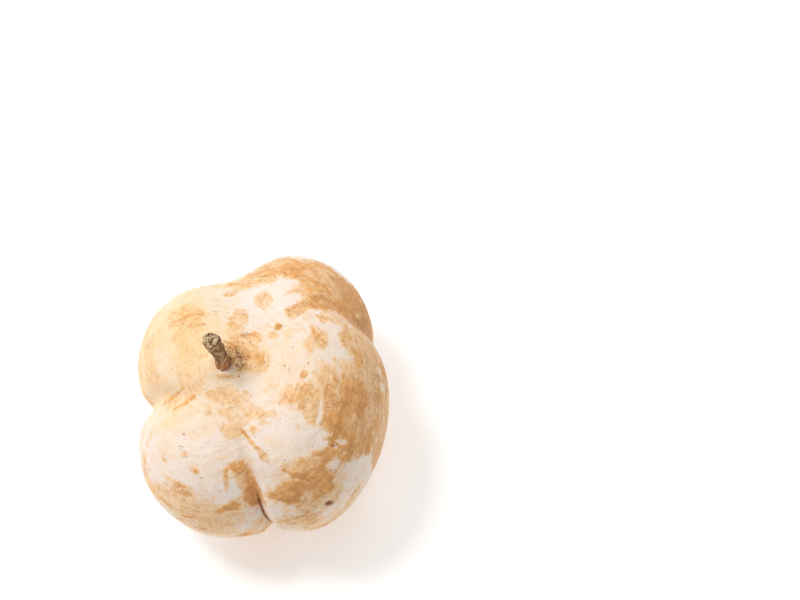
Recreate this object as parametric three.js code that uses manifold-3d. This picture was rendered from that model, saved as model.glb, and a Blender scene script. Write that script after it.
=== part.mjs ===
// Jicama root: a squat, four-lobed tuber with the stub of its vine stem on the crown.
// Millimetres, +Z up. The root stands on the small flat spot under its belly, at z = 0, and the
// origin is on that surface, under the middle of its outline. The crown leans towards -X.
//
// The tuber is star-shaped about its heart: every ray from the heart crosses the skin once. So the
// skin is one function, the distance from the heart in each direction. Each lobe is an ellipsoid
// round the heart, the skin takes the farthest lobe, and neighbours melt into each other near the
// crown and meet in a cleft nearer the rim.
import * as THREE from "three";
import Module from "manifold-3d";
import { mergeVertices } from "three/addons/utils/BufferGeometryUtils.js";

// ---- driving dimensions ----
const HEART = new THREE.Vector3(0.5, -3.7, 40.4); // the point that the lobes grow round
const CROWN = new THREE.Vector3(-0.385, -0.055, 0.925).normalize(); // from the heart to the crown
const DOME = new THREE.Vector3(0.08, -0.03, 0.99).normalize(); // to the middle of the smooth top
const SADDLE = new THREE.Vector3(-0.3, 0.9, 0.25).normalize(); // to the shallow groove at the back

// Lobes: middle measured from the heart, half sizes, and the turn of their axes about +Z in degrees.
const LOBES = {
  core: { middle: [-9, 7, -6], half: [38.5, 52.5, 37.5], turn: -10 },
  back: { middle: [17, 26, -4], half: [36.5, 49.5, 35.5], turn: 8 },
  left: { middle: [-24, 9.5, 0], half: [35.5, 45, 35.5], turn: 17 },
  front: { middle: [-20, -27, -3.5], half: [37.5, 42, 35.5], turn: 30 },
  right: { middle: [21, -11, 1], half: [38, 57, 41.5], turn: -8.5 },
};

// Clefts between neighbours. Depth is at the rim, and width is half the cleft's width, in the
// difference of the two lobes' distances.
const CLEFTS = [
  { between: ["front", "right"], depth: 5, width: 11 },
  { between: ["back", "right"], depth: 3, width: 8 },
  { between: ["left", "front"], depth: 5, width: 6 },
];
// Both lobes swell beside the front cleft: the way to each swelling, its height and its spread.
const SWELLINGS = [
  { lobe: "right", way: new THREE.Vector3(-0.1, -0.83, 0.55).normalize(), height: 3.5, spread: 14 },
  { lobe: "front", way: new THREE.Vector3(0.1, -0.98, -0.12).normalize(), height: 3.5, spread: 11 },
];
const CLEFT_FADE = 5; // a cleft is gone where a third lobe stands this much farther out
const SMOOTH_TOP = { inner: 34, outer: 72 }; // degrees from the dome where clefts start, and are full
const SMOOTH_TAIL = { inner: 12, outer: 40 };

const MELT_POLES = 7; // width over which lobes melt into each other on the dome and round the tail
const MELT_RIM = 3.4;
const MELT_SADDLE = 4.5; // added in the shallow groove
const SADDLE_SPREAD = 38; // degrees

const CROWN_SWELL = { height: 3, spread: 13 }; // the shoulder that carries the stem
const TAIL = new THREE.Vector3(0.69, 0.12, -0.71).normalize(); // to the broken taproot
const TAIL_HOLLOW = { depth: 5, spread: 12 }; // it stands in a shallow hollow, clear of the floor
const TAIL_KNOB = { height: 4, spread: 3.2 };

const STEM_LEAN = new THREE.Vector3(-0.2, 0.07, 0.97).normalize();
const STEM_LENGTH = 22; // with the foot that stands in the seat
const STEM_FOOT_RADIUS = 4;
const STEM_RADIUS = 3.5;
const STEM_KNOT_RADIUS = 3.9;
const STEM_TIP_RADIUS = 3.6;
const STEM_BEND = 0.8; // how far the middle of the stub bows out
const SEAT_DEPTH = 1.6; // the stem's foot stands in a shallow seat in the crown
const GAP = 0.3; // clearance between the stem's foot and its seat

const AROUND = 116; // facets round the crown-to-tail axis
const ALONG = 54; // facets from crown to tail
const STEM_SIDES = 20;

const wasm = await Module();
wasm.setup();

const degreesFrom = (direction, axis) =>
  THREE.MathUtils.radToDeg(Math.acos(THREE.MathUtils.clamp(direction.dot(axis), -1, 1)));
const bell = (x, spread) => Math.exp(-((x / spread) ** 2));

// Distance from the heart to a lobe's ellipsoid: the positive root of |t d - m| = 1, where d and m
// are the direction and the lobe's middle in the lobe's own axes, each divided by its half sizes.
function lobeDistance(direction, { middle, half, turn }) {
  const up = new THREE.Vector3(0, 0, 1);
  const back = -THREE.MathUtils.degToRad(turn);
  const sizes = new THREE.Vector3(...half);
  const m = new THREE.Vector3(...middle).applyAxisAngle(up, back).divide(sizes);
  const d = direction.clone().applyAxisAngle(up, back).divide(sizes);
  const a = d.dot(d);
  const b = d.dot(m);
  return (b + Math.sqrt(b * b - a * (m.dot(m) - 1))) / a;
}

// Distance from the heart to the skin.
function skinDistance(direction) {
  const reach = {};
  for (const [name, lobe] of Object.entries(LOBES)) reach[name] = lobeDistance(direction, lobe);
  for (const { lobe, way, height, spread } of SWELLINGS) {
    reach[lobe] += height * bell(degreesFrom(direction, way), spread);
  }
  const farthest = Math.max(...Object.values(reach));

  const fromTail = degreesFrom(direction, TAIL);
  const rim =
    THREE.MathUtils.smoothstep(degreesFrom(direction, DOME), SMOOTH_TOP.inner, SMOOTH_TOP.outer) *
    THREE.MathUtils.smoothstep(fromTail, SMOOTH_TAIL.inner, SMOOTH_TAIL.outer);
  const saddle = bell(degreesFrom(direction, SADDLE), SADDLE_SPREAD);
  const melt = MELT_POLES * (1 - rim) + (MELT_RIM + MELT_SADDLE * saddle) * rim;
  let distance = farthest;
  let shares = 0;
  for (const t of Object.values(reach)) shares += Math.exp((t - farthest) / melt);
  distance += melt * Math.log(shares);

  for (const { between, depth, width } of CLEFTS) {
    const [one, other] = between.map((name) => reach[name]);
    const outermost = bell(farthest - Math.max(one, other), CLEFT_FADE);
    distance -= depth * rim * outermost * bell(one - other, width);
  }
  distance += CROWN_SWELL.height * bell(degreesFrom(direction, CROWN), CROWN_SWELL.spread);
  distance -= TAIL_HOLLOW.depth * bell(fromTail, TAIL_HOLLOW.spread);
  distance += TAIL_KNOB.height * bell(fromTail, TAIL_KNOB.spread);
  return distance;
}

// How far the middle of the edge between two skin points, both from the heart, lies off the skin.
function edgeError(one, other) {
  const middle = one.clone().add(other).multiplyScalar(0.5);
  const reach = middle.length();
  return Math.abs(reach - skinDistance(middle.normalize()));
}

// A closed mesh over a grid of directions, rings round the axis from the crown to the far pole, each
// vertex out on the skin. A cell is split along its truer diagonal, so that edges follow the clefts.
function skinGeometry() {
  const toCrown = new THREE.Quaternion().setFromUnitVectors(new THREE.Vector3(0, 1, 0), CROWN);
  const skinPoint = (polar, around) => {
    const direction = new THREE.Vector3().setFromSphericalCoords(1, polar, around);
    direction.applyQuaternion(toCrown);
    return direction.multiplyScalar(skinDistance(direction));
  };
  const points = [skinPoint(0, 0)];
  for (let ring = 1; ring < ALONG; ring++) {
    for (let i = 0; i < AROUND; i++) {
      points.push(skinPoint((Math.PI * ring) / ALONG, (2 * Math.PI * i) / AROUND));
    }
  }
  points.push(skinPoint(Math.PI, 0));

  const far = points.length - 1;
  const at = (ring, i) => 1 + (ring - 1) * AROUND + (i % AROUND);
  const triangles = [];
  for (let i = 0; i < AROUND; i++) {
    triangles.push(0, at(1, i), at(1, i + 1), far, at(ALONG - 1, i + 1), at(ALONG - 1, i));
    for (let ring = 1; ring < ALONG - 1; ring++) {
      const [a, b, c, d] = [at(ring, i), at(ring + 1, i), at(ring + 1, i + 1), at(ring, i + 1)];
      if (edgeError(points[a], points[c]) < edgeError(points[b], points[d])) {
        triangles.push(a, b, c, a, c, d);
      } else {
        triangles.push(a, b, d, b, c, d);
      }
    }
  }
  const skin = new THREE.BufferGeometry().setFromPoints(points.map((point) => point.add(HEART)));
  return skin.setIndex(triangles);
}

// The stub's foot stands on this point, at the bottom of its seat.
function seatPoint() {
  const crown = CROWN.clone().multiplyScalar(skinDistance(CROWN)).add(HEART);
  return crown.addScaledVector(STEM_LEAN, -SEAT_DEPTH);
}

// Turns and moves a geometry made along +Y so that it grows along the stem's axis from a point.
function alongStem(geometry, start) {
  const turn = new THREE.Quaternion().setFromUnitVectors(new THREE.Vector3(0, 1, 0), STEM_LEAN);
  return geometry.applyQuaternion(turn).translate(start.x, start.y, start.z);
}

function solidOf(geometry) {
  const bare = geometry.clone();
  bare.deleteAttribute("normal");
  bare.deleteAttribute("uv");
  const merged = mergeVertices(bare, 1e-4);
  return new wasm.Manifold(
    new wasm.Mesh({
      numProp: 3,
      vertProperties: merged.getAttribute("position").array,
      triVerts: new Uint32Array(merged.index.array),
    }),
  );
}

function geometryOf(solid) {
  const mesh = solid.getMesh();
  const geometry = new THREE.BufferGeometry();
  geometry.setAttribute("position", new THREE.BufferAttribute(mesh.vertProperties, 3));
  geometry.setIndex(new THREE.BufferAttribute(mesh.triVerts, 1));
  geometry.computeVertexNormals();
  return geometry;
}

// The tuber: the skin, less the sliver under the flat spot and the seat of the stem.
function tuberGeometry() {
  const floorSize = 200;
  const floor = new THREE.BoxGeometry(floorSize, floorSize, floorSize);
  floor.translate(0, 0, -floorSize / 2);
  const seatRadius = STEM_FOOT_RADIUS + GAP;
  const seatLength = 4 * SEAT_DEPTH;
  const seat = new THREE.CylinderGeometry(seatRadius, seatRadius, seatLength, STEM_SIDES);
  seat.translate(0, seatLength / 2, 0);
  const cut = solidOf(skinGeometry()).subtract(solidOf(floor));
  return geometryOf(cut.subtract(solidOf(alongStem(seat, seatPoint()))));
}

// The stub: a turned profile with a corky foot and a slightly thicker, broken tip, bowed a little.
function stemGeometry() {
  const foot = GAP;
  const profile = [
    [0, foot],
    [STEM_FOOT_RADIUS, foot],
    [STEM_FOOT_RADIUS, SEAT_DEPTH],
    [STEM_RADIUS, 5],
    [STEM_RADIUS, 14],
    [STEM_KNOT_RADIUS, 18],
    [STEM_KNOT_RADIUS, 20.5],
    [STEM_TIP_RADIUS, STEM_LENGTH],
    [0, STEM_LENGTH],
  ].map(([radius, height]) => new THREE.Vector2(radius, height));
  const stub = new THREE.LatheGeometry(profile, STEM_SIDES);
  const points = stub.getAttribute("position");
  for (let i = 0; i < points.count; i++) {
    const share = THREE.MathUtils.clamp((points.getY(i) - SEAT_DEPTH) / (STEM_LENGTH - SEAT_DEPTH), 0, 1);
    points.setX(i, points.getX(i) + STEM_BEND * Math.sin(Math.PI * share));
  }
  return alongStem(geometryOf(solidOf(stub)), seatPoint());
}

function makePart() {
  const skin = new THREE.MeshStandardMaterial({ color: 0xf0dcbc, roughness: 0.55, metalness: 0 });
  const bark = new THREE.MeshStandardMaterial({ color: 0x8a6238, roughness: 0.85, metalness: 0 });
  const tuber = new THREE.Mesh(tuberGeometry(), skin);
  tuber.name = "tuber";
  const stem = new THREE.Mesh(stemGeometry(), bark);
  stem.name = "stem_stub";
  const root = new THREE.Group();
  root.add(tuber, stem);
  return root;
}

export default makePart();
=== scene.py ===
import math

import bpy
import numpy as np
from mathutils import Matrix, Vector


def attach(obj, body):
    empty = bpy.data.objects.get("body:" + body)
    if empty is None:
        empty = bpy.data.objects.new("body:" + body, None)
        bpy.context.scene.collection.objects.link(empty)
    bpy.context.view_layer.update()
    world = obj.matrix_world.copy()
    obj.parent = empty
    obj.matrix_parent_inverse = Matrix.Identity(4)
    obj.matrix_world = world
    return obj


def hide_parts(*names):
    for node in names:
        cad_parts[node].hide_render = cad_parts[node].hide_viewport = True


# Jicama root: a squat tuber of four lobes, with cream flesh under rags of tan papery skin, and the
# broken stub of its vine stem on the crown. The shapes are worked out in millimetres in the frame
# of the solid model, and each mesh is scaled to metres when it is made.

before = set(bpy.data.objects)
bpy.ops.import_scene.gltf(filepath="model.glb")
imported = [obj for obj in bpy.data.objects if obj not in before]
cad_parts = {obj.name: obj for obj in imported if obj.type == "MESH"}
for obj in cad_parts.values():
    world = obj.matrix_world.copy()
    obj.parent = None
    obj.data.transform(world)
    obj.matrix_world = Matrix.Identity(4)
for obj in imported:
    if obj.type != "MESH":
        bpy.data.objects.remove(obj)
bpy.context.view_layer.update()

MM = 0.001


def unit(vector):
    """The direction of a vector: the vector over its length."""
    vector = np.asarray(vector, float)
    return vector / np.linalg.norm(vector, axis=-1, keepdims=True)


# ---------------------------------------------------------------------------------------------
# Driving dimensions, in millimetres and degrees
# ---------------------------------------------------------------------------------------------

HEART = np.array([0.5, -3.7, 40.4])  # the point that the lobes grow round
CROWN = unit([-0.385, -0.055, 0.925])  # directions from the heart
DOME = unit([0.08, -0.03, 0.99])
SADDLE = unit([-0.3, 0.9, 0.25])
TAIL = unit([0.69, 0.12, -0.71])

# Each lobe is an ellipsoid: its middle from the heart, its half sizes, its turn about +Z.
LOBES = {
    "core": ((-9, 7, -6), (38.5, 52.5, 37.5), -10),
    "back": ((17, 26, -4), (36.5, 49.5, 35.5), 8),
    "left": ((-24, 9.5, 0), (35.5, 45, 35.5), 17),
    "front": ((-20, -27, -3.5), (37.5, 42, 35.5), 30),
    "right": ((21, -11, 1), (38, 57, 41.5), -8.5),
}
# Each cleft: its two lobes, depth, half width, the height of the lip that the second lobe raises
# along it, and how dark brown its crease is painted, where 1 is full: painted shade with some soil.
CLEFTS = [
    ("front", "right", 3.4, 3.6, 0.9, 1.6),
    ("back", "right", 3.0, 5.0, 0.3, 0.6),
    ("left", "front", 4.5, 6.0, 0.0, 0.3),
]
CLEFT_FADE = 5.0  # a cleft is gone where a third lobe stands this much farther out
LIP_OFFSET, LIP_WIDTH = 1.6, 0.9  # the lip's place and half width, in half widths of its cleft
# Beside the front cleft both lobes swell: the lobe, the way to the swelling, its height and spread.
SWELLINGS = [
    ("right", unit([-0.1, -0.83, 0.55]), 3.5, 14),
    ("front", unit([0.1, -0.98, -0.12]), 3.5, 11),
]
SMOOTH_TOP = (34, 72)  # degrees from the dome where clefts start, and are full
SMOOTH_TAIL = (12, 40)  # and the same from the tail
MELT_POLES = 7.0  # width over which lobes melt into each other on the dome and round the tail
MELT_RIM = 1.8
MELT_SADDLE = 4.5  # added in the shallow groove at the back
SADDLE_SPREAD = 38
CROWN_SWELL = (3.0, 13)  # shoulder that carries the stem: height and spread
TAIL_HOLLOW = (5.0, 12)
TAIL_KNOB = (4.0, 3.2)
FLOOR_MELT = 0.4  # how softly the skin turns into the flat spot

STEM_LEAN = unit([-0.2, 0.07, 0.97])
STEM_LENGTH = 22.0
STEM_BEND = 0.8  # how far the middle of the stub bows out
SEAT_DEPTH = 1.6  # how deep its foot stands in the crown

# ---------------------------------------------------------------------------------------------
# Camera and light, in metres
# ---------------------------------------------------------------------------------------------

VIEW_ELEVATION = math.radians(62)
VIEW_DISTANCE = 1.1
VIEW_ASIDE = Vector((0.0647, 0.0457))  # how far the view's middle lies from the heart, right and up
LENS, SENSOR = 104.0, 36.0  # millimetres
CLIP_NEAR, CLIP_FAR = 0.01, 20.0

SURROUND = 0.46
LAMP_COLOUR = (1.0, 0.985, 0.96)
LAMP_TARGET = (0, 0, 0.03)
# Each soft box: its place, the length of its side, and its power in watts.
SOFT_BOXES = {
    "key": ((-0.6, 0.3, 1.12), 0.5, 10.4),
    "fill": ((0.35, 0.6, 1.1), 0.8, 2.4),
}


def aim(item, place, target):
    """Puts a camera or a light at a place and turns its -Z axis to the target, +Y up."""
    item.location = place
    item.rotation_euler = (Vector(target) - Vector(place)).to_track_quat("-Z", "Y").to_euler()


def make_camera():
    """A long lens that looks down on the root from the front."""
    right = Vector((1, 0, 0))
    up = Vector((0, math.sin(VIEW_ELEVATION), math.cos(VIEW_ELEVATION)))
    toward = Vector((0, math.cos(VIEW_ELEVATION), -math.sin(VIEW_ELEVATION)))
    heart = Vector(HEART * MM)
    target = heart + right * VIEW_ASIDE.x + up * VIEW_ASIDE.y
    camera = bpy.data.objects.new("view", bpy.data.cameras.new("view"))
    camera.data.lens = LENS
    camera.data.sensor_width = SENSOR
    camera.data.clip_start = CLIP_NEAR
    camera.data.clip_end = CLIP_FAR
    bpy.context.scene.collection.objects.link(camera)
    aim(camera, target - toward * VIEW_DISTANCE, target)
    bpy.context.scene.camera = camera


def make_light(name, place, size, power):
    """A square soft box that faces the root."""
    lamp = bpy.data.lights.new(name, "AREA")
    lamp.shape = "SQUARE"
    lamp.size = size
    lamp.energy = power
    lamp.color = LAMP_COLOUR
    box = bpy.data.objects.new(name, lamp)
    bpy.context.scene.collection.objects.link(box)
    aim(box, place, LAMP_TARGET)


def make_world(strength):
    """An even white surround."""
    world = bpy.data.worlds.new("studio")
    world.use_nodes = True
    background = world.node_tree.nodes["Background"]
    background.inputs["Color"].default_value = (1, 1, 1, 1)
    background.inputs["Strength"].default_value = strength
    bpy.context.scene.world = world


make_camera()
make_world(SURROUND)
for lamp_name, soft_box in SOFT_BOXES.items():
    make_light(lamp_name, *soft_box)
bpy.context.scene.view_settings.view_transform = "Standard"
bpy.context.scene.view_settings.look = "None"

# ---------------------------------------------------------------------------------------------
# Fields: numbers for whole arrays of points or directions
# ---------------------------------------------------------------------------------------------


def smoothstep(value, low, high):
    """0 below low, 1 above high, and 3t² - 2t³ between them, t the share of the way."""
    t = np.clip((value - low) / (high - low), 0, 1)
    return t * t * (3 - 2 * t)


def bell(value, spread):
    """The Gaussian bell: e to the minus square of value over spread."""
    return np.exp(-((value / spread) ** 2))


def degrees_from(direction, axis):
    """The angle between directions and an axis."""
    return np.degrees(np.arccos(np.clip(direction @ axis, -1, 1)))


# Large odd numbers that spread cells and seeds over 32 bits, and the masks of 32 and 16 bits.
CELL_STEPS = np.array([374761393, 668265263, 1442695041])
SEED_STEP = 69069
SCRAMBLE = 1274126177
WORD, HALF_WORD = 0xFFFFFFFF, 0xFFFF


def lattice(cells, seed):
    """A fixed random number from -1 to 1 for each cell of a cubic lattice: its three indices are
    multiplied by large odd numbers, added and scrambled by shifts."""
    mixed = ((cells * CELL_STEPS).sum(-1) + seed * SEED_STEP) & WORD
    mixed = ((mixed ^ (mixed >> 13)) * SCRAMBLE) & WORD
    return ((mixed ^ (mixed >> 16)) & HALF_WORD) / (HALF_WORD / 2) - 1


def noise(points, size, seed):
    """A smooth random field: the lattice's numbers at the eight corners of a cell of this size,
    mixed along each axis with the weights 3t² - 2t³."""
    cells = points / size
    base = np.floor(cells).astype(np.int64)
    t = cells - base
    t = t * t * (3 - 2 * t)
    total = np.zeros(points.shape[:-1])
    for corner in np.ndindex(2, 2, 2):
        weight = np.prod(np.where(corner, t, 1 - t), axis=-1)
        total += weight * lattice(base + corner, seed)
    return total


def fractal(points, size, octaves, seed, gain=0.5):
    """Octaves of noise, each with half the size and a share of the height of the one before."""
    return sum(noise(points, size / 2**i, seed + i) * gain**i for i in range(octaves))


# ---------------------------------------------------------------------------------------------
# Meshes
# ---------------------------------------------------------------------------------------------


def grid_triangles(rings, columns, first=0):
    """Triangles of a closed surface made of rings of points, wound outwards. Vertices are numbered
    ring by ring from first, then the pole before the first ring and the pole after the last."""
    ring, column = np.meshgrid(np.arange(rings - 1), np.arange(columns), indexing="ij")
    beside = (column + 1) % columns
    a, b = ring * columns + column, ring * columns + beside
    c, d = (ring + 1) * columns + column, (ring + 1) * columns + beside
    sides = [np.stack([a, c, d], -1), np.stack([a, d, b], -1)]
    around = np.arange(columns)
    near, far = np.full(columns, rings * columns), np.full(columns, rings * columns + 1)
    last = (rings - 1) * columns
    caps = [
        np.stack([near, around, (around + 1) % columns], -1),
        np.stack([far, last + (around + 1) % columns, last + around], -1),
    ]
    return np.concatenate([part.reshape(-1, 3) for part in sides + caps]) + first


def make_piece(name, points, triangles, material, attributes=None):
    """A smooth mesh object of points in millimetres, with an attribute for each named array."""
    mesh = bpy.data.meshes.new(name)
    mesh.from_pydata(points * MM, [], triangles)
    mesh.shade_smooth()
    for label, values in (attributes or {}).items():
        kind, field = ("FLOAT", "value") if values.ndim == 1 else ("FLOAT_VECTOR", "vector")
        layer = mesh.attributes.new(label, kind, "POINT")
        layer.data.foreach_set(field, values.astype(np.float32).ravel())
    mesh.materials.append(material)
    mesh.validate()
    piece = bpy.data.objects.new(name, mesh)
    bpy.context.scene.collection.objects.link(piece)
    return piece


# ---------------------------------------------------------------------------------------------
# Materials
# ---------------------------------------------------------------------------------------------


class Recipe:
    """A material as nested calls: each call adds one node and gives the output that it makes."""

    def __init__(self, name):
        self.material = bpy.data.materials.new(name)
        self.material.use_nodes = True
        self.nodes = self.material.node_tree.nodes
        self.links = self.material.node_tree.links
        self.shader = self.nodes["Principled BSDF"]
        self.place = self.nodes.new("ShaderNodeTexCoord").outputs["Object"]

    def set(self, socket, value):
        """Links an output to a socket, or sets its own value."""
        if isinstance(value, bpy.types.NodeSocket):
            self.links.new(value, socket)
        else:
            socket.default_value = value

    def field(self, name):
        """The mesh's own attribute: a number."""
        node = self.nodes.new("ShaderNodeAttribute")
        node.attribute_name = name
        return node.outputs["Fac"]

    def vector(self, name):
        """The mesh's own attribute: a vector."""
        node = self.nodes.new("ShaderNodeAttribute")
        node.attribute_name = name
        return node.outputs["Vector"]

    def noise(self, size, detail=2.0, roughness=0.5, where=None, curl=0.0):
        """Noise of this size in metres, from about 0.2 to 0.8, bent into curls."""
        node = self.nodes.new("ShaderNodeTexNoise")
        self.set(node.inputs["Vector"], where or self.place)
        node.inputs["Scale"].default_value = 1 / size
        node.inputs["Detail"].default_value = detail
        node.inputs["Roughness"].default_value = roughness
        node.inputs["Distortion"].default_value = curl
        return node.outputs["Fac"]

    def math(self, operation, one, other):
        """Two numbers joined by an operation."""
        node = self.nodes.new("ShaderNodeMath")
        node.operation = operation
        self.set(node.inputs[0], one)
        self.set(node.inputs[1], other)
        return node.outputs[0]

    def add(self, one, other):
        """The sum."""
        return self.math("ADD", one, other)

    def times(self, one, other):
        """The product."""
        return self.math("MULTIPLY", one, other)

    def step(self, value, low, high, start=0.0, end=1.0):
        """A smooth step from start below low to end above high."""
        node = self.nodes.new("ShaderNodeMapRange")
        node.interpolation_type = "SMOOTHSTEP"
        for socket, number in zip(node.inputs, (value, low, high, start, end)):
            self.set(socket, number)
        return node.outputs["Result"]

    def mix(self, share, one, other):
        """A colour between two others."""
        node = self.nodes.new("ShaderNodeMix")
        node.data_type = "RGBA"
        self.set(node.inputs["Factor"], share)
        for socket, colour in zip(node.inputs[6:8], (one, other)):
            self.set(socket, colour)
        return node.outputs[2]

    def bump(self, height, distance, strength=1.0, normal=None):
        """A bumped normal from heights of 0 to 1, where 1 stands for this distance in metres."""
        node = self.nodes.new("ShaderNodeBump")
        node.inputs["Strength"].default_value = strength
        node.inputs["Distance"].default_value = distance
        self.set(node.inputs["Height"], height)
        if normal:
            self.set(node.inputs["Normal"], normal)
        return node.outputs["Normal"]


def colour(red, green, blue):
    """A screen colour of 0 to 255 as the linear colour that shaders take."""
    share = np.array([red, green, blue]) / 255
    linear = np.where(share <= 0.04045, share / 12.92, ((share + 0.055) / 1.055) ** 2.4)
    return (*linear.tolist(), 1.0)


FLESH_PALE = colour(243, 228, 216)
FLESH_WARM = colour(244, 214, 172)
VEIL = colour(244, 199, 140)  # the thinnest papery skin
TAN = colour(236, 172, 98)
TAN_DEEP = colour(194, 130, 68)
SPECK = colour(140, 88, 50)
# Dark brown of soil and scars, also painted as shade along the clefts' creases.
SOIL_AND_SHADE = colour(146, 82, 34)

# Sizes of the skin's patterns.
STREAK_SIZE = 1.8 * MM
FRAY_SIZE = 1.8 * MM
CRINKLE_SIZE = 3.5 * MM
MOTTLE_SIZE = 8 * MM
EDGE_SIZE = 12 * MM
DEPTH_SIZE = 11 * MM
VEIN_SIZE = 9 * MM
SPECK_SIZE = 2.2 * MM
TICK_SIZE = 2 * MM
# How much each pattern moves the tone of the papery skin.
FRAY_SHARE, STREAK_SHARE, MOTTLE_SHARE, DEPTH_SHARE = 0.3, 0.85, 0.6, 1.6
# Tones over which each layer comes in, and its shares at the two ends. Rags come in from RAG_TONE,
# over a width that itself wanders between crisp and soft.
VEIL_STEP = (0.0, 0.55, 0.0, 0.8)
RAG_TONE, RAG_CRISP, RAG_SOFT, RAG_SHARE = 0.45, 0.6, 1.0, 0.84
WARM_STEP = (0.1, 0.9)
DEEP_STEP = (0.5, 1.15)
FOLD_SHADE_STEP = (0.1, 0.6, 0.08, 0.45)
VEIN_STEP = (0.5, 0.8, 0.0, 0.5)
CREST_HIGHLIGHT_STEP = (0.3, 0.6, 0.1, 0.5)
SOIL_AND_SHADE_STEP = (0.3, 1.2, 0.0, 0.95)
SPECK_SHARE = 0.5
# Parts of a noise's range that make a mark: the folds of crinkles, painted darker as shade, their
# crests, painted paler as a highlight, and rare peaks.
CRINKLE_FOLDS, CRINKLE_CRESTS = (0.53, 0.4), (0.56, 0.68)
SPECK_PEAKS, TICK_PEAKS = (0.72, 0.77), (0.71, 0.79)
VEIN_WIDTH = 0.008
FLESH_ROUGHNESS, RAG_ROUGHNESS = 0.5, 0.62
SKIN_SHINE = 0.3
# Light that enters the flesh and comes out again: its share, how far each colour of it goes, and
# the reach of the farthest.
GLOW, GLOW_COLOUR, GLOW_REACH = 0.12, (1.0, 0.5, 0.25), 3 * MM
RAG_STEP, CRINKLE_HEIGHT, GRAIN_HEIGHT = 0.1 * MM, 0.6 * MM, 0.25 * MM


def skin_material():
    """Cream flesh under rags of tan papery skin. The field "papery" is the tone of the rags, which
    fine noise frays and mottles. "warm" tints the flesh, and the dark field paints shade, with some
    earth, into the clefts."""
    r = Recipe("papery_skin")
    streaks = r.add(r.noise(STREAK_SIZE, 4.0, 0.65, r.vector("grain")), -0.5)
    fray = r.add(r.noise(FRAY_SIZE, 5.0, 0.7), -0.5)
    crinkle = r.noise(CRINKLE_SIZE, 5.0, 0.7, curl=1.5)
    mottle = r.add(r.noise(MOTTLE_SIZE, 6.0, 0.7), -0.5)
    tone = r.add(r.field("papery"), r.times(fray, FRAY_SHARE))
    tone = r.add(tone, r.add(r.times(streaks, STREAK_SHARE), r.times(mottle, MOTTLE_SHARE)))
    full = r.step(r.noise(EDGE_SIZE, 2.0), 0.4, 0.6, RAG_CRISP, RAG_SOFT)
    rag = r.step(tone, RAG_TONE, full)

    warm = r.add(r.field("warm"), mottle)
    flesh = r.mix(r.step(warm, *WARM_STEP), FLESH_PALE, FLESH_WARM)
    depth = r.add(r.noise(DEPTH_SIZE, 5.0, 0.7), -0.5)
    deep = r.add(tone, r.times(depth, DEPTH_SHARE))
    tan = r.mix(r.step(deep, *DEEP_STEP), TAN, TAN_DEEP)
    skin = r.mix(r.step(tone, *VEIL_STEP), flesh, VEIL)
    skin = r.mix(r.times(rag, RAG_SHARE), skin, tan)
    # Painted shade in the crinkles' folds, the low parts of the crinkle bump.
    fold_shade = r.times(r.step(crinkle, *CRINKLE_FOLDS), r.step(tone, *FOLD_SHADE_STEP))
    skin = r.mix(fold_shade, skin, TAN_DEEP)
    vein = r.math("ABSOLUTE", r.add(r.noise(VEIN_SIZE, 4.0, 0.55, curl=0.8), -0.5), 0.0)
    vein = r.times(r.step(vein, VEIN_WIDTH, 0.0), r.step(r.add(tone, mottle), *VEIN_STEP))
    skin = r.mix(vein, skin, SPECK)
    # Painted highlight on the crinkles' crests.
    crest_highlight = r.times(r.step(crinkle, *CRINKLE_CRESTS), r.step(tone, *CREST_HIGHLIGHT_STEP))
    skin = r.mix(crest_highlight, skin, VEIL)

    specks = r.step(r.noise(SPECK_SIZE, 1.0, 0.5), *SPECK_PEAKS)
    ticks = r.step(r.noise(TICK_SIZE, 2.0, 0.6, r.vector("grain")), *TICK_PEAKS)
    skin = r.mix(r.times(r.add(specks, ticks), SPECK_SHARE), skin, SPECK)
    # Dark brown where this field is high: painted shade in the clefts with some soil, stains on the
    # scars, and a patch beside the stem.
    soil_and_shade = r.add(r.field("soil_and_shade"), fray)
    skin = r.mix(r.step(soil_and_shade, *SOIL_AND_SHADE_STEP), skin, SOIL_AND_SHADE)
    r.set(r.shader.inputs["Base Color"], skin)

    r.set(r.shader.inputs["Roughness"], r.step(rag, 0.0, 1.0, FLESH_ROUGHNESS, RAG_ROUGHNESS))
    r.shader.inputs["Specular IOR Level"].default_value = SKIN_SHINE
    r.shader.inputs["Subsurface Weight"].default_value = GLOW
    r.shader.inputs["Subsurface Radius"].default_value = GLOW_COLOUR
    r.shader.inputs["Subsurface Scale"].default_value = GLOW_REACH
    normal = r.bump(rag, RAG_STEP)
    normal = r.bump(crinkle, CRINKLE_HEIGHT, 0.7, normal)
    normal = r.bump(fray, GRAIN_HEIGHT, 0.6, normal)
    normal = r.bump(streaks, GRAIN_HEIGHT, 0.6, normal)
    r.set(r.shader.inputs["Normal"], normal)
    return r.material


BARK_DARK, BARK_LIGHT = colour(92, 57, 30), colour(164, 118, 74)
BARK_BLOTCH = colour(214, 184, 140)
FOOT_DARK, FOOT_LIGHT = colour(150, 94, 54), colour(216, 160, 110)
WOOD_DARK, WOOD_LIGHT = colour(150, 114, 76), colour(232, 206, 168)
# Near black: dirt on the rim, and painted shade in the pith hole and the cracks of the broken end.
BARK_DIRT_AND_SHADE = colour(46, 30, 20)
FIBRE_DARK, FIBRE_LIGHT = colour(96, 56, 28), colour(186, 126, 72)


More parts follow.
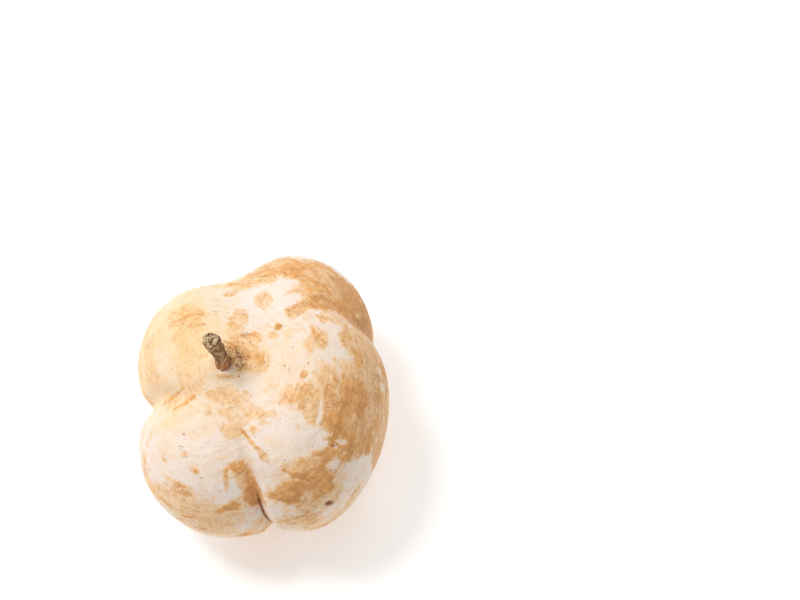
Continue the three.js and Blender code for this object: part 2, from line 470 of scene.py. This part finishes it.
def bark_material():
    """Dry, fibrous stem: streaks along the axis, darker in the furrows, paler on the broken end."""
    r = Recipe("dry_bark")
    streaks = r.noise(0.9 * MM, 4.0, 0.7, r.vector("grain"))
    blotch = r.noise(3.5 * MM, 3.0, 0.65)
    bark = r.mix(r.step(streaks, 0.35, 0.6), BARK_DARK, BARK_LIGHT)
    bark = r.mix(r.step(blotch, 0.45, 0.65, 0.0, 0.7), bark, BARK_BLOTCH)
    foot = r.mix(r.step(streaks, 0.4, 0.6), FOOT_DARK, FOOT_LIGHT)
    bark = r.mix(r.field("foot"), bark, foot)
    wood = r.mix(r.step(streaks, 0.3, 0.6), WOOD_DARK, WOOD_LIGHT)
    bark = r.mix(r.field("torn"), bark, wood)
    # Near black where this field is high: dirt on the rim, painted shade in the pith hole and the
    # cracks.
    bark = r.mix(r.field("soil_and_shade"), bark, BARK_DIRT_AND_SHADE)
    r.set(r.shader.inputs["Base Color"], bark)
    r.shader.inputs["Roughness"].default_value = 0.85
    normal = r.bump(streaks, 0.4 * MM, 0.8)
    r.set(r.shader.inputs["Normal"], normal)
    return r.material


def hair_material():
    """Dry rootlets and torn fibres."""
    r = Recipe("dry_fibre")
    tint = r.mix(r.step(r.noise(2 * MM), 0.35, 0.65), FIBRE_DARK, FIBRE_LIGHT)
    r.set(r.shader.inputs["Base Color"], tint)
    r.shader.inputs["Roughness"].default_value = 0.8
    return r.material


def floor_material():
    """Plain matt white card."""
    r = Recipe("white_card")
    r.shader.inputs["Base Color"].default_value = (0.9, 0.9, 0.9, 1)
    r.shader.inputs["Roughness"].default_value = 0.9
    r.shader.inputs["Specular IOR Level"].default_value = 0.1
    r.shader.inputs["Emission Color"].default_value = (1, 1, 1, 1)
    r.shader.inputs["Emission Strength"].default_value = 0.34
    return r.material


# ---------------------------------------------------------------------------------------------
# The tuber
# ---------------------------------------------------------------------------------------------


def lobe_distance(direction, middle, half, turn):
    """Distance from the heart to a lobe's ellipsoid: the positive root t of |t d - m| = 1, where d
    and m are the direction and the lobe's middle, turned to its axes and divided by its sizes."""
    cos, sin = math.cos(math.radians(turn)), math.sin(math.radians(turn))
    axes = np.array([[cos, sin, 0], [-sin, cos, 0], [0, 0, 1]])
    m = axes @ np.asarray(middle, float) / half
    d = direction @ axes.T / half
    a, b = (d * d).sum(-1), d @ m
    return (b + np.sqrt(b * b - a * (m @ m - 1))) / a


def lobe_distances(direction):
    """The distance to each lobe, by name, raised by a bell at each swelling."""
    reach = {name: lobe_distance(direction, *lobe) for name, lobe in LOBES.items()}
    for name, way, height, spread in SWELLINGS:
        reach[name] += height * bell(degrees_from(direction, way), spread)
    return reach


def rim_share(direction):
    """How far clefts are open: 0 on the smooth top and at the tail, 1 on the rim between them."""
    top = smoothstep(degrees_from(direction, DOME), *SMOOTH_TOP)
    return top * smoothstep(degrees_from(direction, TAIL), *SMOOTH_TAIL)


def skin_distance(direction):
    """Distance from the heart to the skin. The farthest lobe, melted into its neighbours by the
    logarithm of the sum of exponentials, less a bell-shaped cleft where two lobes' distances are
    equal, plus a low lip beside it, the crown's swelling, the tail's hollow and its knob."""
    reach = lobe_distances(direction)
    all_reach = np.stack(list(reach.values()))
    farthest = all_reach.max(0)
    rim = rim_share(direction)
    saddle = bell(degrees_from(direction, SADDLE), SADDLE_SPREAD)
    melt = MELT_POLES * (1 - rim) + (MELT_RIM + MELT_SADDLE * saddle) * rim
    distance = farthest + melt * np.log(np.exp((all_reach - farthest) / melt).sum(0))
    for one, other, depth, width, lip, _ in CLEFTS:
        outermost = bell(farthest - np.maximum(reach[one], reach[other]), CLEFT_FADE)
        across = reach[one] - reach[other]
        distance -= depth * rim * outermost * bell(across, width)
        distance += lip * rim * outermost * bell(across + LIP_OFFSET * width, LIP_WIDTH * width)
    from_tail = degrees_from(direction, TAIL)
    distance += CROWN_SWELL[0] * bell(degrees_from(direction, CROWN), CROWN_SWELL[1])
    distance += TAIL_KNOB[0] * bell(from_tail, TAIL_KNOB[1])
    return distance - TAIL_HOLLOW[0] * bell(from_tail, TAIL_HOLLOW[1])


def toward(azimuth, elevation):
    """The direction at an azimuth from +X and an elevation above the level, in degrees."""
    a, e = math.radians(azimuth), math.radians(elevation)
    return np.array([math.cos(a) * math.cos(e), math.sin(a) * math.cos(e), math.sin(e)])


def skin_point(direction):
    """The point of the skin in one direction from the heart."""
    return HEART + direction * skin_distance(direction[None])[0]


# Rags of papery skin. Each is an ellipse laid on the skin: the azimuth and elevation of its middle
# seen from the heart, half its length and width, its turn up from the level, and its tone, from a
# faint tint at 0.3 to brown at 1. Later rags lie over earlier ones, and a tone of 0 is a bare window.
RAGS = {
    "left wash": (160, 45, 15, 9, 30, 0.35),
    "left wash, low": (-165, 47, 10, 6, -75, 0.35),
    "left shoulder": (145, 35, 9, 7, 90, 0.5),
    "left side": (170, 20, 12, 5, 0, 0.35),
    "left fold": (-163, 27, 8, 3, 60, 0.35),
    "saddle dash": (110, 30, 5, 2, 20, 0.65),
    "saddle rim": (100, 25, 13, 3, 25, 0.5),
    "back top": (80, 20, 26, 8, 5, 0.65),
    "back shoulder": (58, 20, 17, 11, -20, 0.7),
    "back middle": (60, 32, 9, 4, 20, 0.5),
    "back spot": (90, 40, 6, 4, -75, 0.4),
    "back right": (45, 18, 25, 9, -75, 0.75),
    "back low": (35, 9, 18, 10, -55, 0.9),
    "crease band": (51, 38, 15, 4.5, 50, 0.8),
    "crease end": (57, 49, 6, 3, 80, 0.6),
    "crease spot": (37, 36, 6, 5, -70, 0.4),
    "fan": (118, 56, 9, 4, 50, 0.5),
    "crown, right": (-155, 86, 9, 6, 65, 0.4),
    "crown, behind": (140, 72, 8, 7, 30, 0.5),
    "crown stain": (170, 78, 8, 7, 0, 0.6),
    "crown spot": (105, 72, 4, 3, 0, 0.55),
    "big spot": (65, 63, 2, 1.5, -55, 0.9),
    "small spot": (65, 70, 2, 1.5, -25, 0.5),
    "collar": (-150, 66, 5, 1.2, 55, 0.5),
    "ring": (20, 55, 7, 5, -20, 0.5),
    "ring window": (35, 60, 4, 3, -20, 0.1),
    "right shoulder": (15, 35, 10, 8, -55, 0.55),
    "right, upper": (-10, 42, 14, 10, -50, 0.45),
    "right trail": (-55, 64, 12, 4, -35, 0.3),
    "trail spot": (-25, 62, 2, 1.5, 0, 0.7),
    "trail dash": (-40, 58, 3, 1.5, -35, 0.6),
    "right wash": (-27, 33, 27, 16, -60, 0.52),
    "right, middle": (-28, 35, 20, 12, -45, 0.65),
    "right flank": (-36, 23, 17, 9, -50, 0.75),
    "right edge": (-15, 20, 20, 10, 25, 0.65),
    "right edge, high": (10, 25, 16, 8, -50, 0.6),
    "right side": (-8, 8, 26, 9, 5, 0.6),
    "right blotch": (-25, 35, 9, 7, 0, 0.9),
    "right, low": (-52, 2, 10, 5, 10, 0.55),
    "right, front": (-65, 16, 20, 14, -20, 0.48),
    "right bottom": (-72, 5, 12, 4, -10, 0.5),
    "right rim": (-30, 7, 14, 6, 45, 0.6),
    "right rag": (-69, 30, 11, 4, -5, 0.65),
    "right rag, low": (-64, 22, 9, 6, -40, 0.85),
    "right rag, front": (-76, 20, 8, 5, 20, 0.95),
    "right rag, streak": (-70, 26, 10, 1.5, -30, 1.0),
    "olive rag": (-55, 30, 8, 4, -30, 0.75),
    "front wash": (-114, 8, 26, 11, -5, 0.4),
    "front rag": (-119, 11, 9, 5, -30, 0.55),
    "front bottom": (-107, 3, 11, 3.5, -10, 0.55),
    "front rim": (-134, 2, 10, 3, -5, 0.65),
    "front sole": (-115, -5, 22, 4, -5, 0.65),
    "front side": (-147, 8, 6, 3, -50, 0.5),
    "fold, left": (-165, 29, 7, 1, 90, 0.6),
    "fold, right": (-154, 36, 6, 1.5, 90, 0.6),
    "cleft rag": (-95, 20, 13, 3.6, -52, 0.7),
    "cleft rag, low": (-92, 13, 7, 2.6, -60, 0.85),
    "cleft rag, left": (-105, 22, 5, 1.2, -75, 0.55),
    "front dash": (-101, 12, 4, 1.6, -10, 0.65),
    "front fleck": (-129, 26, 1.4, 1.5, 10, 0.5),
    "front fleck, low": (-120, 23, 1.8, 1.5, 5, 0.5),
    "front fleck, left": (-136, 18, 2.5, 1.4, 15, 0.55),
    "front edge": (-150, 14, 4, 2, -60, 0.5),
    "middle, high": (-125, 59, 11, 5, 20, 0.4),
    "middle": (-107, 53, 13, 5, 10, 0.42),
    "middle, right": (-85, 54, 7, 2, 0, 0.45),
    "middle, low": (-113, 43, 6, 3, 5, 0.48),
    "middle spot": (-93, 46, 2.5, 2, 10, 0.55),
    "cleft streak": (-94, 40, 7, 1.2, -35, 0.6),
    "cleft streak, low": (-86, 34, 3.5, 2, -50, 0.5),
    "window": (-45, 30, 3, 1, -45, 0.2),
    "window streak": (-45, 45, 7, 1, 35, 0.1),
    "bare foot": (-49, 16, 8, 4, -25, 0.25),
}
# Old wounds: an ellipse like a rag's, and its depth.
SCARS = {
    "cut": (-62, 10, 2.6, 1.4, -25, 0.6),
    "pit": (-50, 31, 0.8, 0.7, 0, 0.4),
}
WILD_SIZE = 15.0  # size of the rags on the sides and the underside, which are random
WILD_START = (80, 98)  # degrees from the dome where they take over
TORN_SIZE = 8.0  # size of the tears in the rags' edges
EDGE_SOFTNESS = (0.65, 0.25)  # of the faintest rag, and how much less it is at a tone of 1
HAZE = (0.1, 0.12, 18.0)  # tone between the rags: its mean, its spread and its patches' size
GRAIN_AROUND = 7.0  # the skin's fine streaks run round the crown: a radian of turn is this long
GRAIN_ALONG = 52.0  # and a radian away from the crown is this long
WARM_WAY = unit([-0.9, 0.3, 0.3])  # the flesh is yellower on this side
CROWN_PATCH_WAY = unit([-0.3, 0.03, 0.93])  # a brown patch on the crown, beside the stem
CROWN_PATCH_SPREAD = 8
CROWN_PATCH = (0.4, 0.5, 2.5)  # its mean, its spread and the size of its blotches
WARMTH = (0.2, 0.6, 0.4, 30)  # everywhere, more on the warm side, its spread and its patches' size
SCAR_EDGE = (-0.3, 0.6)
SCAR_STAIN = 1.2
CLEFT_START, CLEFT_END = (66, 80), (84, 104)  # degrees from the dome where the painted crease shade and soil start, and end
CLEFT_DARK_WIDTH = 0.3  # half width of the painted crease shade and soil, in half widths of its cleft

# Fine relief: the height and the size of each kind of unevenness.
DENTS = (0.45, 24)
BUMPS = (0.1, 5)
STREAKS = (0.17, 6.0)
PAPER_THICKNESS = 0.08
WRINKLE_HEIGHT = 0.12  # wrinkles that run round the stem's foot
WRINKLE_PITCH = 2.1  # radians of their wave in a degree
WRINKLE_WAVER = 4.0
WRINKLE_PLACE = (12, 6)  # degrees from the crown, and spread
COLLAR = (0.7, 7.5, 2.0)  # ledge of skin round the stem's foot: height, degrees from it, spread
SKIN_RINGS = 236
SKIN_COLUMNS = 420


def inside_ellipse(points, azimuth, elevation, length, width, turn):
    """One less the square of the distance from the ellipse's middle, in half sizes, so it is 0 at
    its edge. Distances are along its own two axes, laid level and upright on the skin and then
    turned, and the depth below the skin counts too, so that the far side is never inside."""
    middle_way = toward(azimuth, elevation)
    offset = points - skin_point(middle_way)
    level = unit(np.cross([0, 0, 1], middle_way))
    upright = np.cross(middle_way, level)
    cos, sin = math.cos(math.radians(turn)), math.sin(math.radians(turn))
    along = offset @ (level * cos + upright * sin) / length
    across = offset @ (upright * cos - level * sin) / width
    deep = offset @ middle_way / (length + width + 6)
    return 1 - along**2 - across**2 - deep**2


def papery_tone(points, direction, grain):
    """The tone of the papery skin, 0 where the flesh is bare: rags laid over each other, each with
    its edge torn by noise, the softer the fainter it is, and past the rim noise alone."""
    torn = 0.6 * fractal(points, TORN_SIZE, 4, seed=5, gain=0.75)
    torn += 0.4 * fractal(grain, 5.0, 3, seed=6)
    tone = HAZE[0] + HAZE[1] * fractal(points, HAZE[2], 3, seed=8)
    for *ellipse, rag_tone in RAGS.values():
        soft = EDGE_SOFTNESS[0] - EDGE_SOFTNESS[1] * rag_tone
        cover = smoothstep(inside_ellipse(points, *ellipse) + torn, -soft, soft)
        tone += cover * (rag_tone - tone)
    wild = fractal(points * [1, 1, 0.7], WILD_SIZE, 4, seed=21) + 0.4 * torn
    wild_tone = 0.6 + 0.4 * noise(points, WILD_SIZE, seed=25)
    wild_tone *= smoothstep(wild, -0.6, 0.15)
    past_rim = smoothstep(degrees_from(direction, DOME), *WILD_START)
    return tone + past_rim * (wild_tone - tone)


def tuber_piece(material):
    """The whole skin as one closed surface on a grid of directions: rings by the angle from the
    crown, columns round it. Each point lies at the skin's distance plus fine relief, and the floor
    cuts it off softly."""
    side = unit(np.cross([0, 1, 0], CROWN))
    forward = np.cross(CROWN, side)
    polar = np.pi * np.arange(1, SKIN_RINGS + 1)[:, None] / (SKIN_RINGS + 1)
    around = 2 * np.pi * np.arange(SKIN_COLUMNS)[None, :] / SKIN_COLUMNS
    polar, around = np.broadcast_arrays(polar, around)
    outward = np.cos(around)[..., None] * side + np.sin(around)[..., None] * forward
    direction = np.sin(polar)[..., None] * outward + np.cos(polar)[..., None] * CROWN
    direction = np.concatenate([direction.reshape(-1, 3), [CROWN, -CROWN]])
    polar = np.append(polar.ravel(), [0, np.pi])
    around = np.append(around.ravel(), [0, 0])

    distance = skin_distance(direction)
    points = HEART + direction * distance[:, None]
    circle = np.stack([np.cos(around), np.sin(around)], -1) * np.sin(polar)[:, None]
    grain = np.column_stack([circle * GRAIN_AROUND, polar * GRAIN_ALONG])
    papery = papery_tone(points, direction, grain)
    from_crown = np.degrees(polar)
    relief = DENTS[0] * fractal(points, DENTS[1], 2, seed=1)
    relief += BUMPS[0] * fractal(points, BUMPS[1], 3, seed=3)
    relief += PAPER_THICKNESS * smoothstep(papery, 0.1, 0.3)
    relief += STREAKS[0] * fractal(grain, STREAKS[1], 3, seed=7)
    wave = np.sin(from_crown * WRINKLE_PITCH + WRINKLE_WAVER * noise(points, 7, seed=9))
    near_stem = bell(from_crown - WRINKLE_PLACE[0], WRINKLE_PLACE[1])
    relief += WRINKLE_HEIGHT * wave * near_stem * (0.6 + 0.8 * noise(points, 8, seed=10))
    relief += COLLAR[0] * bell(from_crown - COLLAR[1], COLLAR[2])
    scars = np.zeros(len(points))
    for *ellipse, depth in SCARS.values():
        hurt = smoothstep(inside_ellipse(points, *ellipse), *SCAR_EDGE)
        scars = np.maximum(scars, hurt)
        relief -= depth * hurt
    distance = distance + relief

    floor = HEART[2] / np.maximum(-direction[:, 2], 1e-3)
    distance -= FLOOR_MELT * np.log1p(np.exp((distance - floor) / FLOOR_MELT))
    points = HEART + direction * distance[:, None]

    # Painted shade along the clefts with some soil, stains on the scars, and a brown patch beside the
    # stem.
    crown_patch = bell(degrees_from(direction, CROWN_PATCH_WAY), CROWN_PATCH_SPREAD)
    soil_and_shade = cleft_shade_and_soil(direction) + SCAR_STAIN * scars
    soil_and_shade += crown_patch * (CROWN_PATCH[0] + CROWN_PATCH[1] * fractal(points, CROWN_PATCH[2], 2, seed=11))
    warm = WARMTH[0] + WARMTH[1] * smoothstep(direction @ WARM_WAY, 0.5, 1.0)
    warm += WARMTH[2] * fractal(points, WARMTH[3], 2, seed=13)
    attributes = {"papery": papery, "warm": warm, "soil_and_shade": soil_and_shade, "grain": grain * MM}
    triangles = grid_triangles(SKIN_RINGS, SKIN_COLUMNS)
    return make_piece("tuber_skin", points, triangles, material, attributes)


def cleft_shade_and_soil(direction):
    """Painted shade, with some earth, in the clefts: a narrow bell on each cleft's line, where the
    rim turns down, that fades out towards the underside."""
    reach = lobe_distances(direction)
    farthest = np.stack(list(reach.values())).max(0)
    from_dome = degrees_from(direction, DOME)
    deep = smoothstep(from_dome, *CLEFT_START) * (1 - smoothstep(from_dome, *CLEFT_END))
    soil_and_shade = np.zeros(len(direction))
    for one, other, _, width, _, left in CLEFTS:
        outermost = bell(farthest - np.maximum(reach[one], reach[other]), CLEFT_FADE)
        soil_and_shade += left * deep * outermost * bell(reach[one] - reach[other], CLEFT_DARK_WIDTH * width)
    return soil_and_shade


# ---------------------------------------------------------------------------------------------
# The stem stub
# ---------------------------------------------------------------------------------------------

STEM_RINGS = 90
TORN_RINGS = 16
STEM_COLUMNS = 96
STEM_HEIGHTS = (0.0, 1.6, 3.6, 6.0, 10.0, 14.0, 18.0, 20.5, 22.0)
STEM_RADII = (3.9, 3.7, 3.4, 3.2, 3.3, 3.4, 3.7, 3.8, 3.4)
BARK_RADIUS = 4  # the bark's noise is laid on a cylinder of this radius
RIBS, RIDGES = (5, 0.1), (11, 0.12)  # how many lie round the stem, and their height
RIB_SWAY = (0.4, 3)  # the ribs sway along the stem: how far, and over what length
BARK_FLAKES = (0.5, 1.6)  # height and size
BARK_STRETCH = 0.35  # flakes are drawn out along the stem
KNOTS = (0.35, 3.2)
RAGGED_FROM = 14.0  # the rim's unevenness grows from this height up
RIM_RAGGED = (0.9, 2.4)
WOOD_SUNK = 1.3  # how deep the broken wood lies inside the rim
PITH_DEPTH = 1.2
PITH_SHARE = 0.28  # the pith hole's radius as a share of the stem's
SPLINTERS = (0.8, 0.8)
CRACK_SIZE = 1.1
# How dark each part of the stem is painted: the rim with dirt, the pith hole and the cracks with
# painted shade.
RIM_DIRT, PITH_SHADE, CRACK_SHADE = 0.55, 0.95, 0.7
GRAIN_STRETCH = 0.12  # the bark's streaks are drawn out along the stem
FOOT_END = (4, 8)  # heights over which the corky foot turns into bark


def stem_axes():
    """The stem's foot and its three directions: sideways, forward and along."""
    foot = skin_point(CROWN) - STEM_LEAN * SEAT_DEPTH
    forward = unit(np.cross(STEM_LEAN, [1, 0, 0]))
    return foot, np.cross(forward, STEM_LEAN), forward, STEM_LEAN


def stem_piece(material):
    """The stub: a turned profile along a bowed axis, roughened by ribs and noise, that ends in a
    ragged rim with the broken wood sunk inside it and a pith hole in the middle."""
    foot, side, forward, along = stem_axes()
    around = 2 * np.pi * np.arange(STEM_COLUMNS)[None, :] / STEM_COLUMNS
    climb = np.linspace(0, 1, STEM_RINGS)[:, None]
    inward = np.linspace(1, 0.04, TORN_RINGS)[:, None]
    height = np.concatenate([climb * STEM_LENGTH, np.full((TORN_RINGS, 1), STEM_LENGTH)])
    share = np.concatenate([np.ones((STEM_RINGS, 1)), inward])
    torn = np.concatenate([np.zeros((STEM_RINGS, 1)), np.ones((TORN_RINGS, 1))])
    height, share, torn, around = np.broadcast_arrays(height, share, torn, around)

    circle = np.stack([np.cos(around), np.sin(around), np.zeros_like(around)], -1)
    upward = np.array([0, 0, 1])
    surface = circle * BARK_RADIUS
    across = surface * share[..., None]
    ribs = RIBS[1] * np.sin(RIBS[0] * around + RIB_SWAY[0] * np.sin(height / RIB_SWAY[1]))
    ridges = RIDGES[1] * np.sin(RIDGES[0] * around + 1)
    stretched = surface + upward * (height * BARK_STRETCH)[..., None]
    bark = BARK_FLAKES[0] * fractal(stretched, BARK_FLAKES[1], 3, seed=31)
    knots = KNOTS[0] * fractal(surface + upward * height[..., None], KNOTS[1], 2, seed=33)
    radius = np.interp(height, STEM_HEIGHTS, STEM_RADII) + ribs + ridges + bark + knots
    radius = radius * share
    ragged = RIM_RAGGED[0] * noise(surface, RIM_RAGGED[1], seed=35)
    rise = height + ragged * smoothstep(height, RAGGED_FROM, STEM_LENGTH)
    hollow = WOOD_SUNK * (1 - share) ** 0.5 + PITH_DEPTH * bell(share, PITH_SHARE)
    splinter = SPLINTERS[0] * noise(across, SPLINTERS[1], seed=37) * smoothstep(1 - share, 0, 0.2)
    rise = rise + torn * (splinter - hollow)
    bow = STEM_BEND * np.sin(np.pi * height / STEM_LENGTH)

    flat = radius[..., None] * (circle[..., :1] * side + circle[..., 1:2] * forward)
    points = foot + flat + rise[..., None] * along + bow[..., None] * side
    rings = STEM_RINGS + TORN_RINGS
    poles = np.stack([foot, points[-1].mean(0)])
    points = np.concatenate([points.reshape(-1, 3), poles])
    grain = circle * radius[..., None] + upward * (rise * GRAIN_STRETCH)[..., None]
    grain = np.concatenate([grain.reshape(-1, 3), [[0, 0, 0], [0, 0, 2]]])
    edge = bell(share - 0.96, 0.12) * smoothstep(height, 19, STEM_LENGTH)
    # The cracks have no relief; their shade, and the pith hole's, is painted near black.
    crack = smoothstep(noise(across, CRACK_SIZE, seed=39), 0.2, 0.7) * torn
    soil_and_shade = RIM_DIRT * edge * smoothstep(noise(surface, 1.5, seed=38), -0.3, 0.5)
    soil_and_shade += PITH_SHADE * torn * bell(share, 0.2) + CRACK_SHADE * crack
    soil_and_shade = np.clip(soil_and_shade, 0, 1)
    foot_share = (1 - smoothstep(height, *FOOT_END)) * (1 - torn)
    attributes = {
        "foot": np.append(foot_share.ravel(), [1, 0]),
        "torn": np.append(torn.ravel(), [0, 1]),
        "soil_and_shade": np.append(soil_and_shade.ravel(), [0, 1]),
        "grain": grain * MM,
    }
    return make_piece("stem_bark", points, grid_triangles(rings, STEM_COLUMNS), material, attributes)


# ---------------------------------------------------------------------------------------------
# Rootlets and torn fibres
# ---------------------------------------------------------------------------------------------

HAIR_STEPS = 7
HAIR_SIDES = 4
HAIR_ROOTED = 0.12  # share of each strand's length that stands in the skin
HAIR_CURL = (0.5, 0.6)  # how far strands curl sideways: its random spread, and its share
HAIR_TAPER = 0.8  # share of its thickness that a strand loses towards its tip


def hairs(roots, ways, lengths, thickness, seed):
    """Strands that leave their roots along their ways, curl by a random sideways quadratic, and
    taper to a point: rings of four points carried along each path."""
    draw = np.random.default_rng(seed)
    count = len(roots)
    ways = unit(ways)
    curl = draw.normal(0, HAIR_CURL[0], (count, 3))[:, None] * HAIR_CURL[1]
    s = np.linspace(0, 1, HAIR_STEPS)[None, :, None]
    length = lengths[:, None, None]
    path = roots[:, None] + length * (ways[:, None] * (s - HAIR_ROOTED) + curl * s**2)
    across = unit(np.cross(ways, draw.normal(0, 1, (count, 3))))[:, None]
    beside = np.cross(ways[:, None], across)
    radius = thickness / 2 * (1 - HAIR_TAPER * s)
    angle = 2 * np.pi * np.arange(HAIR_SIDES) / HAIR_SIDES
    ring = np.cos(angle)[:, None] * across[:, :, None] + np.sin(angle)[:, None] * beside[:, :, None]
    tube = path[:, :, None] + radius[..., None] * ring
    ends = np.stack([path[:, 0], path[:, -1]], 1)
    strand = np.concatenate([tube.reshape(count, -1, 3), ends], 1)
    size = strand.shape[1]
    one = grid_triangles(HAIR_STEPS, HAIR_SIDES)
    triangles = (one[None] + size * np.arange(count)[:, None, None]).reshape(-1, 3)
    return strand.reshape(-1, 3), triangles


BRISTLES = 520
BRISTLE_THICKNESS = 0.34
BRISTLE_LENGTHS = (0.8, 3.2)
BRISTLE_ANGLE = (0.55, 0.6)  # radians round the stem from its right: the middle and the spread
BRISTLE_START = 3.4  # distance from the stem's axis where they start
BRISTLE_SPREAD = 3.8
BRISTLE_FADE = 9  # they are shorter the farther out they stand


def crown_bristles(material):
    """Short dry fibres on the crown, thickest close behind the stem's foot and to its right."""
    draw = np.random.default_rng(41)
    angle = draw.normal(*BRISTLE_ANGLE, BRISTLES)
    away = np.abs(draw.normal(0, BRISTLE_SPREAD, BRISTLES))
    _, side, forward, _ = stem_axes()
    flat = np.cos(angle)[:, None] * side + np.sin(angle)[:, None] * forward
    direction = unit(skin_point(CROWN) + flat * (BRISTLE_START + away)[:, None] - HEART)
    roots = HEART + direction * skin_distance(direction)[:, None]
    ways = direction * 0.2 + draw.normal(0, 0.6, (BRISTLES, 3))
    lengths = draw.uniform(*BRISTLE_LENGTHS, BRISTLES) * bell(away, BRISTLE_FADE)
    points, triangles = hairs(roots, ways, lengths, BRISTLE_THICKNESS, seed=42)
    return make_piece("crown_bristles", points, triangles, material)


FIBRES = 34
FIBRE_THICKNESS = 0.3
FIBRE_LENGTHS = (0.8, 2.2)
FIBRE_RING = (1.6, 3.9)  # distances from the stem's axis
FIBRE_DEPTH = 0.8  # how far below the rim they are rooted


def torn_fibres(material):
    """Splinters that stand up from the ragged rim of the broken end."""
    draw = np.random.default_rng(51)
    foot, side, forward, along = stem_axes()
    angle = draw.uniform(0, 2 * np.pi, FIBRES)
    flat = np.cos(angle)[:, None] * side + np.sin(angle)[:, None] * forward
    radius = draw.uniform(*FIBRE_RING, FIBRES)[:, None]
    roots = foot + along * (STEM_LENGTH - FIBRE_DEPTH) + flat * radius
    ways = along * 0.9 + flat * 0.5 + draw.normal(0, 0.35, (FIBRES, 3))
    lengths = draw.uniform(*FIBRE_LENGTHS, FIBRES)
    points, triangles = hairs(roots, ways, lengths, FIBRE_THICKNESS, seed=52)
    return make_piece("torn_fibres", points, triangles, material)


# Tufts of rootlets: azimuth, elevation, how many, and their length.
TUFTS = [
    (65, 63, 6, 2.6),
    (60, 66, 3, 1.8),
    (118, 68, 6, 2.4),
    (126, 52, 3, 1.6),
    (40, 32, 5, 1.6),
]
TUFT_SPREAD = 0.9
ROOTLET_THICKNESS = 0.2


def rootlets(material):
    """A few loose rootlets at old scars, in tufts."""
    draw = np.random.default_rng(61)
    roots, lengths = [], []
    for azimuth, elevation, count, length in TUFTS:
        middle = skin_point(toward(azimuth, elevation))
        near = unit(middle + draw.normal(0, TUFT_SPREAD, (count, 3)) - HEART)
        roots.append(HEART + near * skin_distance(near)[:, None])
        lengths.append(length * draw.uniform(0.6, 1.1, count))
    roots, lengths = np.concatenate(roots), np.concatenate(lengths)
    ways = unit(roots - HEART) * 0.5 + draw.normal(0, 0.5, roots.shape)
    points, triangles = hairs(roots, ways, lengths, ROOTLET_THICKNESS, seed=62)
    return make_piece("rootlets", points, triangles, material)


# ---------------------------------------------------------------------------------------------
# Put together
# ---------------------------------------------------------------------------------------------


FLOOR_REACH = 6000.0


def make_floor():
    """A wide level card under the root."""
    corners = FLOOR_REACH * np.array([[-1, -1, 0], [1, -1, 0], [1, 1, 0], [-1, 1, 0]])
    floor = make_piece("floor", corners, np.array([[0, 1, 2], [0, 2, 3]]), floor_material())


make_floor()
fibre = hair_material()
tuber = tuber_piece(skin_material())
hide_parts("tuber")
stem = stem_piece(bark_material())
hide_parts("stem_stub")
pieces = [tuber, stem]
for maker in (crown_bristles, torn_fibres, rootlets):
    piece = maker(fibre)
    pieces.append(piece)
for piece in pieces:
    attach(piece, "root")
